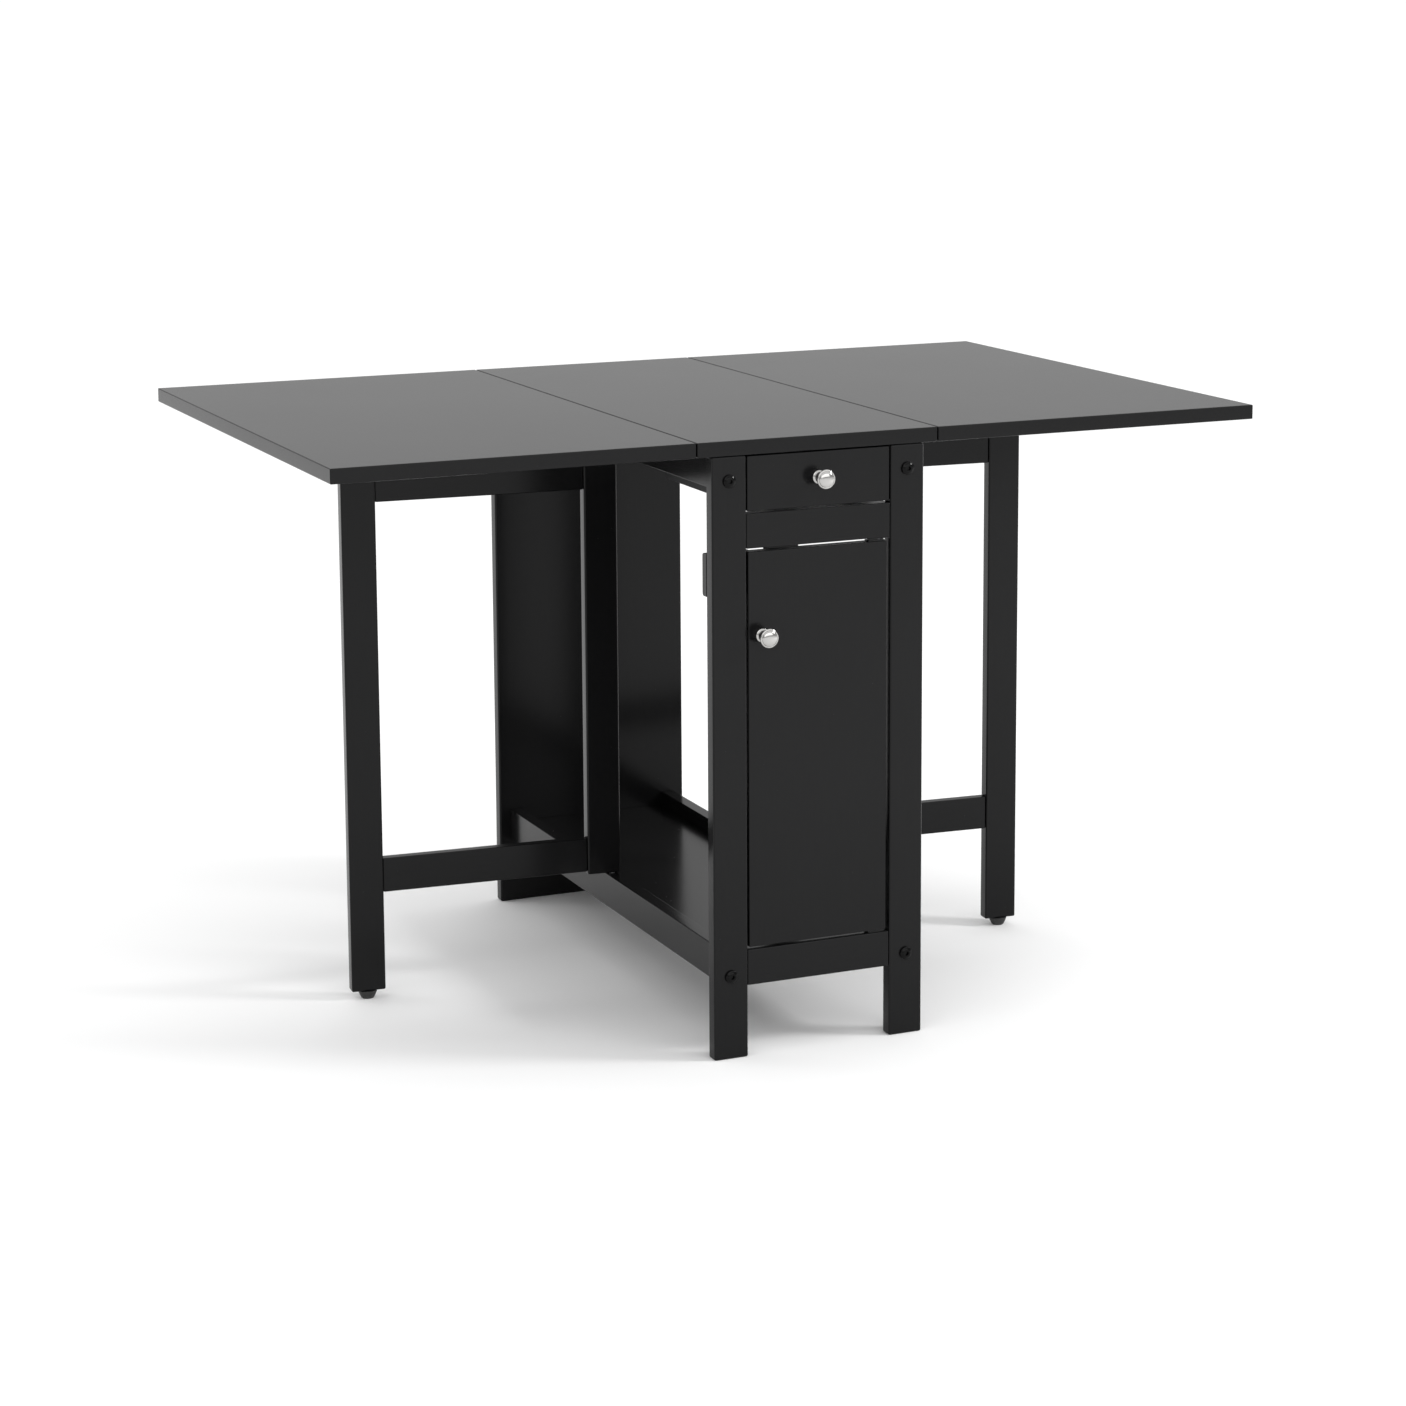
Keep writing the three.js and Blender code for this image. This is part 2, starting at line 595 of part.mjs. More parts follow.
function gate(sideName) {
  const [foot, top] = INNER_POST_HEIGHTS;
  const lower = foot + GATE_RAIL_LIFT;
  const upper = top - GATE_RAIL_LIFT;
  const group = new THREE.Group();
  group.add(
    gateInnerPost(sideName),
    gateOuterLeg(sideName),
    gateRail(`gate_rail_lower_${sideName}`, [lower, lower + GATE_RAIL_HEIGHT]),
    gateRail(`gate_rail_upper_${sideName}`, [upper - GATE_RAIL_HEIGHT, upper]),
    pivotPin(`gate_pin_lower_${sideName}`, foot - PIVOT_GAP / 2),
    pivotPin(`gate_pin_upper_${sideName}`, top + PIVOT_GAP / 2),
    glide(sideName),
  );
  const side = SIDES[sideName];
  const outward = side > 0 ? 0 : Math.PI;
  group.position.set(side * APRON_MIDDLE, PIVOT_OFFSET, 0);
  group.rotation.z = outward - THREE.MathUtils.degToRad(GATE_REST_ANGLE);
  return group;
}

// ---- Assembly ----

function frame() {
  const group = new THREE.Group();
  group.add(middleBoard(), endPanel(), shelf(), catchBlock(), magnet());
  group.add(frontRail("front_rail_lower", [RAIL_CLEARANCE, RAIL_TOP]));
  group.add(frontRail("front_rail_upper", [UPPER_RAIL_BOTTOM, UPPER_RAIL_TOP]));
  group.add(framePivot("top"), framePivot("bottom"));
  for (const side of Object.keys(SIDES)) {
    group.add(frontPost(side), apron(side), sideRail(side), drawerRunner(side));
    for (const end of Object.keys(ENDS)) {
      group.add(bolt(side, end, "lower"), bolt(side, end, "upper"));
    }
  }
  return group;
}

function drawer() {
  const group = new THREE.Group();
  const knobHeight = (DRAWER_FRONT_BOTTOM + UNDERSIDE - DRAWER_GAP) / 2 + DRAWER_KNOB_RISE;
  group.add(drawerFront(), drawerSide("left"), drawerSide("right"));
  group.add(drawerBack(), drawerBottom(), knob("drawer_knob", 0, knobHeight));
  return group;
}

function hungDoor() {
  const group = new THREE.Group();
  group.add(door(), strike(), doorPlate("top"), doorPlate("bottom"));
  group.add(knob("door_knob", DOOR_KNOB.x, DOOR_KNOB.z));
  return group;
}

const table = new THREE.Group();
table.add(frame(), drawer(), hungDoor());
for (const side of Object.keys(SIDES)) {
  table.add(leaf(side), gate(side));
  for (const end of Object.keys(ENDS)) {
    table.add(hinge(side, end));
  }
}

// The knobs stand out in front and the bolt heads behind, so this centres the outer box on Y.
const knobTip = DEPTH / 2 - FRONT_RECESS + FIT + KNOB.reach;
const boltTip = DEPTH / 2 + FIT + BOLT.headHeight;
table.position.y = (knobTip - boltTip) / 2;

export default table;
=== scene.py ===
"""Dresses a black gateleg table: softened boards, turned fittings, lacquer, metal and a pale studio."""

import json
import logging
import math
from dataclasses import dataclass, field
from enum import Enum
from typing import Iterable, Sequence, Union

import bmesh
import bpy
from mathutils import Matrix, Vector


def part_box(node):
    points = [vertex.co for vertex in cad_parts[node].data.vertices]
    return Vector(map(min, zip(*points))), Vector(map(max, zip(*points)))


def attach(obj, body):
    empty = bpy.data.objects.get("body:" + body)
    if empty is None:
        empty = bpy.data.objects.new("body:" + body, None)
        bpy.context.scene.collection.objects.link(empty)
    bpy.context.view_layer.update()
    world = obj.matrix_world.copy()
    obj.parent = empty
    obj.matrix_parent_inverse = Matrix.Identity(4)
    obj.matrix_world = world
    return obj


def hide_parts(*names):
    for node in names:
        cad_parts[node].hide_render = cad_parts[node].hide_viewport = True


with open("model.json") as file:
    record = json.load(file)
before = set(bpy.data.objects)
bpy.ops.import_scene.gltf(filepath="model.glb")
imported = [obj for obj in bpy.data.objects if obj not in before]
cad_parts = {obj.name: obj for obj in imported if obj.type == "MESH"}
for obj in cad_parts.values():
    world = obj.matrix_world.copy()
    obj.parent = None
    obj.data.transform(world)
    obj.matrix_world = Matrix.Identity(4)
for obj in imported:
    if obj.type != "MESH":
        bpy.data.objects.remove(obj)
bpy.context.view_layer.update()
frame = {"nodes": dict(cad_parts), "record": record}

LOG = logging.getLogger("gateleg_table")
MM = 0.001
WELD = 1e-6  # vertices nearer than this, in metres, are one
SIDES = ("left", "right")
ENDS = ("near", "far")
Point = Union[Vector, Sequence[float]]


class Grain(Enum):
    """The axis that a board's fibres run along; its value stretches noise along that axis."""

    ALONG_X = (1.0, 14.0, 14.0)
    ALONG_Y = (14.0, 1.0, 14.0)
    ALONG_Z = (14.0, 14.0, 1.0)


class Axis(Enum):
    """The direction in which a turned piece grows from its foot."""

    FRONT = Vector((0.0, -1.0, 0.0))
    BACK = Vector((0.0, 1.0, 0.0))
    UP = Vector((0.0, 0.0, 1.0))
    DOWN = Vector((0.0, 0.0, -1.0))
    LEFT = Vector((-1.0, 0.0, 0.0))
    RIGHT = Vector((1.0, 0.0, 0.0))


# ---- Shader maths ----


class Socket:
    """A node's output that can be used in Python arithmetic; each operator adds a Math node."""

    def __init__(self, shader: "Shader", output: bpy.types.NodeSocket) -> None:
        """Wraps one output of one shader's tree."""
        self.shader = shader
        self.output = output

    def _math(self, operation: str, *values: Union["Socket", float]) -> "Socket":
        """Adds a Math node.

        Args:
            operation: the Math node's operation.
            values: its inputs in order.

        Returns:
            The node's result.
        """
        inputs = dict(enumerate(values))
        return self.shader.node("ShaderNodeMath", {"operation": operation}, inputs)

    def __add__(self, other: Union["Socket", float]) -> "Socket":
        """Adds."""
        return self._math("ADD", self, other)

    __radd__ = __add__

    def __mul__(self, other: Union["Socket", float]) -> "Socket":
        """Multiplies."""
        return self._math("MULTIPLY", self, other)

    __rmul__ = __mul__

    def __sub__(self, other: Union["Socket", float]) -> "Socket":
        """Subtracts."""
        return self._math("SUBTRACT", self, other)

    def __rsub__(self, other: float) -> "Socket":
        """Subtracts from a number."""
        return self._math("SUBTRACT", other, self)

    def __truediv__(self, other: Union["Socket", float]) -> "Socket":
        """Divides."""
        return self._math("DIVIDE", self, other)

    def __rtruediv__(self, other: float) -> "Socket":
        """Divides a number."""
        return self._math("DIVIDE", other, self)

    def __gt__(self, other: float) -> "Socket":
        """Gives 1 where the value is greater, else 0."""
        return self._math("GREATER_THAN", self, other)

    def clamped(self) -> "Socket":
        """Keeps the value between 0 and 1."""
        return self.shader.node("ShaderNodeClamp", {}, {0: self})


class Shader:
    """One material's node tree around a Principled BSDF."""

    def __init__(self, name: str) -> None:
        """Starts a material with the given name."""
        self.material = bpy.data.materials.new(name)
        self.material.use_nodes = True
        self.tree = self.material.node_tree
        self.surface = self.tree.nodes["Principled BSDF"]

    def node(self, kind: str, settings: dict, inputs: dict, output: Union[int, str] = 0) -> Socket:
        """Adds any node.

        Args:
            kind: the node's type.
            settings: attributes of the node, set first.
            inputs: a value or a Socket for each input's name or number.
            output: the output to return.

        Returns:
            The chosen output.
        """
        made = self.tree.nodes.new(kind)
        for key, value in settings.items():
            setattr(made, key, value)
        for key, value in inputs.items():
            self.feed(made.inputs[key], value)
        return Socket(self, made.outputs[output])

    def feed(self, target: bpy.types.NodeSocket, value: object) -> None:
        """Links a Socket to an input, or sets the input's value."""
        if isinstance(value, Socket):
            self.tree.links.new(value.output, target)
        else:
            target.default_value = value

    def set(self, **values: object) -> None:
        """Sets the surface's inputs; an underscore in a name stands for a space."""
        for key, value in values.items():
            self.feed(self.surface.inputs[key.replace("_", " ")], value)

    def place(self, scale: Sequence[float] = (1.0, 1.0, 1.0)) -> Socket:
        """Gives Object coordinates, stretched by scale."""
        here = self.node("ShaderNodeTexCoord", {}, {}, "Object")
        return self.node("ShaderNodeMapping", {}, {"Vector": here, "Scale": scale})

    def noise(self, where: Socket, scale: float, detail: float = 3.0, rough: float = 0.5) -> Socket:
        """Gives fractal noise between about 0 and 1."""
        inputs = {"Vector": where, "Scale": scale, "Detail": detail, "Roughness": rough}
        return self.node("ShaderNodeTexNoise", {}, inputs)

    def cells(self, where: Socket, scale: float) -> Socket:
        """Gives the distance to the nearest of many scattered points."""
        return self.node("ShaderNodeTexVoronoi", {}, {"Vector": where, "Scale": scale}, "Distance")

    def mix(self, factor: Socket, low: Sequence[float], high: Sequence[float]) -> Socket:
        """Blends two colours by a factor."""
        inputs = {"Factor": factor, 6: (*low, 1.0), 7: (*high, 1.0)}
        return self.node("ShaderNodeMix", {"data_type": "RGBA"}, inputs, 2)

    def spread(self, value: Socket, low: float, high: float) -> Socket:
        """Maps 0..1 to low..high."""
        return value * (high - low) + low

    def ramp(self, value: Socket, start: float, end: float, low: float, high: float) -> Socket:
        """Maps start..end smoothly to low..high, and holds those values outside."""
        inputs = {"Value": value, 1: start, 2: end, 3: low, 4: high}
        return self.node("ShaderNodeMapRange", {"interpolation_type": "SMOOTHSTEP"}, inputs)

    def bump(self, height: Socket, distance: float, strength: float) -> Socket:
        """Turns a height into a normal; distance is in metres."""
        inputs = {"Height": height, "Distance": distance, "Strength": strength}
        return self.node("ShaderNodeBump", {}, inputs)


class Room(Shader):
    """The node tree of the world's light."""

    def __init__(self, name: str) -> None:
        """Starts a world with the given name."""
        self.world = bpy.data.worlds.new(name)
        self.world.use_nodes = True
        self.tree = self.world.node_tree
        self.surface = self.tree.nodes["Background"]


# ---- Finishes ----


@dataclass(frozen=True)
class Lacquer:
    """Sprayed satin black lacquer: fine orange peel, a trace of the grain below, and dust nibs."""

    name: str = "lacquer"
    grain: Grain = Grain.ALONG_X
    body: tuple = (0.0040, 0.0040, 0.0042)
    worn: tuple = (0.0080, 0.0080, 0.0083)
    gloss: tuple = (0.15, 0.21)
    shine: float = 0.16
    peel: float = 0.5
    fibre: float = 0.35
    depth: float = 0.00003
    cloud_scale: float = 5.0
    streak_scale: float = 26.0
    peel_scale: float = 260.0
    pore_scale: float = 90.0
    nib_scale: float = 42.0
    nib_size: float = 0.030

    def build(self) -> bpy.types.Material:
        """Makes the material."""
        shader = Shader(self.name)
        here = shader.place()
        along = shader.place(self.grain.value)
        cloud = shader.noise(here, self.cloud_scale, detail=4.0, rough=0.55)
        streak = shader.noise(along, self.streak_scale, detail=5.0, rough=0.6)
        peel = shader.noise(here, self.peel_scale, detail=2.0)
        pores = shader.noise(along, self.pore_scale, detail=4.0, rough=0.7)
        nibs = 1.0 - (shader.cells(here, self.nib_scale) > self.nib_size)
        shade = (cloud * 0.55 + streak * 0.45 + nibs * 0.5).clamped()
        rough = shader.spread(cloud * 0.5 + streak * 0.5, *self.gloss) + nibs * 0.1
        relief = peel * self.peel + pores * self.fibre + nibs
        shader.set(
            Base_Color=shader.mix(shade, self.body, self.worn),
            Roughness=rough.clamped(),
            Normal=shader.bump(relief, self.depth, 0.5),
            Metallic=0.0,
            IOR=1.5,
            Specular_IOR_Level=self.shine,
        )
        return shader.material


@dataclass(frozen=True)
class BrushedNickel:
    """Nickel plate brushed round the knob's axis."""

    name: str = "nickel"
    bright: tuple = (0.50, 0.495, 0.485)
    dull: tuple = (0.36, 0.355, 0.345)
    gloss: tuple = (0.05, 0.13)
    brush: tuple = (1.0, 60.0, 1.0)
    hair_scale: float = 55.0
    smudge_scale: float = 130.0
    depth: float = 0.00002

    def build(self) -> bpy.types.Material:
        """Makes the material."""
        shader = Shader(self.name)
        hairs = shader.noise(shader.place(self.brush), self.hair_scale, detail=5.0, rough=0.7)
        smudge = shader.noise(shader.place(), self.smudge_scale)
        shader.set(
            Base_Color=shader.mix((hairs * 0.6 + smudge * 0.4).clamped(), self.dull, self.bright),
            Roughness=shader.spread(hairs, *self.gloss),
            Normal=shader.bump(hairs, self.depth, 0.2),
            Metallic=1.0,
        )
        return shader.material


@dataclass(frozen=True)
class Steel:
    """Plated or painted steel for bolts, hinges, pins and screws."""

    name: str = "steel"
    base: tuple = (0.50, 0.51, 0.53)
    stain: tuple = (0.36, 0.365, 0.37)
    metallic: float = 1.0
    gloss: tuple = (0.22, 0.40)
    grit: float = 0.2
    shine: float = 0.5
    mottle_scale: float = 160.0
    grit_scale: float = 900.0
    depth: float = 0.00005

    def build(self) -> bpy.types.Material:
        """Makes the material."""
        shader = Shader(self.name)
        here = shader.place()
        mottle = shader.noise(here, self.mottle_scale, detail=4.0, rough=0.6)
        grit = shader.noise(here, self.grit_scale, detail=2.0)
        shader.set(
            Base_Color=shader.mix(mottle, self.stain, self.base),
            Roughness=shader.spread(mottle, *self.gloss),
            Normal=shader.bump(grit, self.depth, self.grit),
            Metallic=self.metallic,
            Specular_IOR_Level=self.shine,
        )
        return shader.material


@dataclass(frozen=True)
class MouldedPlastic:
    """Black polyethylene with a spark-eroded texture, scuffed where it slides on the floor."""

    name: str = "plastic"
    base: tuple = (0.012, 0.012, 0.012)
    scuffed: tuple = (0.06, 0.06, 0.058)
    scuff_height: float = 0.004
    gloss: tuple = (0.42, 0.58)
    grain_scale: float = 1400.0
    patch_scale: float = 240.0
    depth: float = 0.00008

    def build(self) -> bpy.types.Material:
        """Makes the material."""
        shader = Shader(self.name)
        here = shader.place()
        grain = shader.noise(here, self.grain_scale, detail=2.0)
        patches = shader.noise(here, self.patch_scale, detail=4.0, rough=0.6)
        height = shader.node("ShaderNodeSeparateXYZ", {}, {0: here}, "Z")
        scuff = ((1.0 - height / self.scuff_height).clamped() * patches).clamped()
        shader.set(
            Base_Color=shader.mix(scuff, self.base, self.scuffed),
            Roughness=shader.spread(patches, *self.gloss),
            Normal=shader.bump(grain, self.depth, 0.4),
        )
        return shader.material


class Palette:
    """The table's materials, made once each and found by material slot."""

    def __init__(self) -> None:
        """Builds every finish."""
        self.lacquer = {
            grain: Lacquer(f"black_lacquer_{grain.name.lower()}", grain).build() for grain in Grain
        }
        self.inner = {
            grain: Lacquer(
                f"inner_lacquer_{grain.name.lower()}", grain,
                body=(0.009, 0.009, 0.0095), worn=(0.018, 0.018, 0.019),
                gloss=(0.38, 0.52), peel=0.6, fibre=1.0, depth=0.00006,
            ).build()
            for grain in Grain
        }
        black = {"base": (0.004, 0.004, 0.0042), "stain": (0.0025, 0.0025, 0.0026)}
        self.plain = {
            "brushed_nickel": BrushedNickel("brushed_nickel").build(),
            "black_bolts": Steel(
                "black_bolts", base=(0.0016, 0.0016, 0.0017), stain=(0.0010, 0.0010, 0.0010),
                metallic=0.0, gloss=(0.05, 0.08), grit=0.02, shine=0.12,
            ).build(),
            "black_hinges": Steel(
                "black_hinges", gloss=(0.30, 0.42), metallic=0.0, shine=0.3, **black
            ).build(),
            "zinc_steel": Steel("zinc_steel").build(),
            "glide_plastic": MouldedPlastic("glide_plastic").build(),
        }

    def find(self, slot: str, grain: Grain) -> bpy.types.Material:
        """Gives the material for a slot, with its fibres along the given axis where it has any."""
        if slot == "black_lacquer":
            return self.lacquer[grain]
        if slot == "inner_lacquer":
            return self.inner[grain]
        return self.plain[slot]


# ---- Making and dressing pieces ----


def arc(centre: tuple, radius: float, start: float, end: float, steps: int) -> list:
    """Points of an arc in a turned profile.

    Args:
        centre: (distance from the axis, height) of the arc's centre.
        radius: the arc's radius.
        start: the first angle in degrees, from the outward direction towards the top.
        end: the last angle.
        steps: how many stretches the arc is made of.

    Returns:
        (distance from the axis, height) pairs.
    """
    angles = [math.radians(start + (end - start) * step / steps) for step in range(steps + 1)]
    return [(centre[0] + radius * math.cos(a), centre[1] + radius * math.sin(a)) for a in angles]


def turn(bm: bmesh.types.BMesh, profile: list, steps: int) -> None:
    """Spins a profile of (distance from the axis, height) pairs about Z into a closed shape."""
    points = [bm.verts.new((distance, 0.0, height)) for distance, height in profile]
    edges = [bm.edges.new(pair) for pair in zip(points, points[1:])]
    bmesh.ops.spin(
        bm, geom=points + edges, cent=(0, 0, 0), axis=(0, 0, 1), angle=2 * math.pi,
        steps=steps, use_merge=True, use_duplicate=False,
    )
    bmesh.ops.remove_doubles(bm, verts=bm.verts, dist=WELD)
    bmesh.ops.recalc_face_normals(bm, faces=bm.faces)


def stand(bm: bmesh.types.BMesh, axis: Axis, foot: Point, twist: float = 0.0) -> None:
    """Turns a shape built on Z to an axis and moves it to its foot, after a twist in degrees."""
    turned = Vector((0, 0, 1)).rotation_difference(axis.value).to_matrix().to_4x4()
    spun = Matrix.Rotation(math.radians(twist), 4, "Z")
    bm.transform(Matrix.Translation(Vector(foot)) @ turned @ spun)


@dataclass
class Assembly:
    """What every sub-assembly shares: the palette, and ways to soften, turn and hang its pieces."""

    palette: Palette
    made: int = field(default=0, init=False)

    def slot_of(self, node: str) -> str:
        """Gives the record's material slot of a CAD node."""
        subparts = frame["record"]["subparts"]
        return next(entry["material_slot"] for entry in subparts if entry["node"] == node)

    def body_of(self, node: str) -> str:
        """Gives the body that a CAD node belongs to."""
        bodies = frame["record"]["behaviour"]["bodies"]
        return next(body for body, nodes in bodies.items() if node in nodes)

    def keep(
        self, name: str, bm: bmesh.types.BMesh, body: str, slot: str,
        grain: Grain = Grain.ALONG_X, replaces: Iterable[str] = (), smooth: bool = True,
    ) -> bpy.types.Object:
        """Turns a bmesh into a finished piece.

        Args:
            name: the piece's name.
            bm: its shape, in place; it is freed.
            body: the body it rides on.
            slot: the record's material slot.
            grain: the axis of its fibres.
            replaces: CAD nodes that it stands for.
            smooth: whether its faces are shaded smooth.

        Returns:
            The new object.
        """
        mesh = bpy.data.meshes.new(name)
        bm.to_mesh(mesh)
        bm.free()
        mesh.materials.append(self.palette.find(slot, grain))
        mesh.polygons.foreach_set("use_smooth", [smooth] * len(mesh.polygons))
        piece = bpy.data.objects.new(name, mesh)
        bpy.context.scene.collection.objects.link(piece)
        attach(piece, body)
        nodes = list(replaces)
        if nodes:
            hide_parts(*nodes)
        self.made += 1
        LOG.info("%s rides on %s (%d faces)", name, body, len(mesh.polygons))
        return piece

    def soften(self, node: str, grain: Grain, radius: float, segments: int = 3) -> bpy.types.Object:
        """Stands a copy of a CAD board, with rounded edges, in the board's place.

        Args:
            node: the CAD node.
            grain: the axis of its fibres.
            radius: the width of the rounding in metres.
            segments: how many strips the rounding has.

        Returns:
            The rounded piece.
        """
        flat, square, shortest = math.radians(0.5), math.radians(60), 3 * MM
        bm = bmesh.new()
        bm.from_mesh(frame["nodes"][node].data)
        bmesh.ops.remove_doubles(bm, verts=bm.verts, dist=WELD)
        bmesh.ops.dissolve_limit(bm, angle_limit=flat, verts=bm.verts, edges=bm.edges)
        edges = [
            edge for edge in bm.edges
            if len(edge.link_faces) == 2
            and edge.calc_face_angle(0.0) > square
            and edge.calc_length() > shortest
        ]
        bmesh.ops.bevel(
            bm, geom=edges, offset=radius, offset_type="OFFSET", affect="EDGES",
            segments=segments, profile=0.5, material=-1, clamp_overlap=True,
        )
        slot, body = self.slot_of(node), self.body_of(node)
        piece = self.keep(node + "_board", bm, body, slot, grain, [node])
        weighted = piece.modifiers.new("even_shading", "WEIGHTED_NORMAL")
        weighted.keep_sharp = True
        return piece

    def coat(self, node: str, grain: Grain = Grain.ALONG_X) -> None:
        """Gives a CAD node that keeps its own mesh its finish."""
        mesh = frame["nodes"][node].data
        mesh.materials.clear()
        mesh.materials.append(self.palette.find(self.slot_of(node), grain))
        self.made += 1
        LOG.info("%s keeps its shape", node)


# ---- Fittings ----


@dataclass
class Screw:
    """A countersunk screw's head with a cross recess."""

    head: float = 6.8 * MM
    dish: float = 0.35 * MM
    arm: float = 2.1 * MM
    breadth: float = 0.45 * MM
    recess: float = 1.3 * MM
    recess_taper: float = 0.55
    cone: float = 1.6 * MM
    cone_taper: float = 0.5
    steps: int = 32

    def add(self, bm: bmesh.types.BMesh, foot: Point, axis: Axis, twist: float) -> None:
        """Adds one head to a mesh, its rim at foot and its recess facing along axis."""
        part = bmesh.new()
        radius = self.head / 2
        rim = bmesh.ops.create_circle(part, cap_ends=False, radius=radius, segments=self.steps)
        rim_edges = list({edge for vert in rim["verts"] for edge in vert.link_edges})
        cross = [part.verts.new((x, y, self.dish)) for x, y in self.cross_outline()]
        closed = zip(cross, cross[1:] + cross[:1])
        cross_edges = [part.edges.new(pair) for pair in closed]
        bmesh.ops.bridge_loops(part, edges=rim_edges + cross_edges)
        floor = bmesh.ops.extrude_edge_only(part, edges=cross_edges)["geom"]
        deep = [item for item in floor if isinstance(item, bmesh.types.BMVert)]
        bmesh.ops.translate(part, verts=deep, vec=(0, 0, -self.recess))
        bmesh.ops.scale(part, verts=deep, vec=(self.recess_taper, self.recess_taper, 1.0))
        bmesh.ops.contextual_create(part, geom=[
            item for item in floor if isinstance(item, bmesh.types.BMEdge)
            and all(vert in deep for vert in item.verts)
        ])
        under = bmesh.ops.extrude_edge_only(part, edges=rim_edges)["geom"]
        low = [item for item in under if isinstance(item, bmesh.types.BMVert)]
        bmesh.ops.translate(part, verts=low, vec=(0, 0, -self.cone))
        bmesh.ops.scale(part, verts=low, vec=(self.cone_taper, self.cone_taper, 1.0))
        bmesh.ops.contextual_create(part, geom=[
            item for item in under if isinstance(item, bmesh.types.BMEdge)
            and all(vert in low for vert in item.verts)
        ])
        bmesh.ops.recalc_face_normals(part, faces=part.faces)
        stand(part, axis, foot, twist)
        merge_into(bm, part)

    def cross_outline(self) -> list:
        """Gives the cross's outline, with as many points as the rim has."""
        arm, half = self.arm, self.breadth
        corners = []
        for quarter in range(4):
            spin = Matrix.Rotation(quarter * math.pi / 2, 2)
            corners += [spin @ Vector(p) for p in ((arm, -half), (arm, half), (half, half))]
        extra = self.steps - len(corners)
        points = []
        for index, corner in enumerate(corners):
            points.append(tuple(corner))
            cuts = extra // len(corners) + (1 if index % len(corners) < extra % len(corners) else 0)
            following = corners[(index + 1) % len(corners)]
            for cut in range(cuts):
                points.append(tuple(corner.lerp(following, (cut + 1) / (cuts + 1))))
        return points


def merge_into(bm: bmesh.types.BMesh, part: bmesh.types.BMesh) -> None:
    """Adds one bmesh's faces to another and frees it."""
    mesh = bpy.data.meshes.new("scratch")
    part.to_mesh(mesh)
    part.free()
    bm.from_mesh(mesh)
    bpy.data.meshes.remove(mesh)


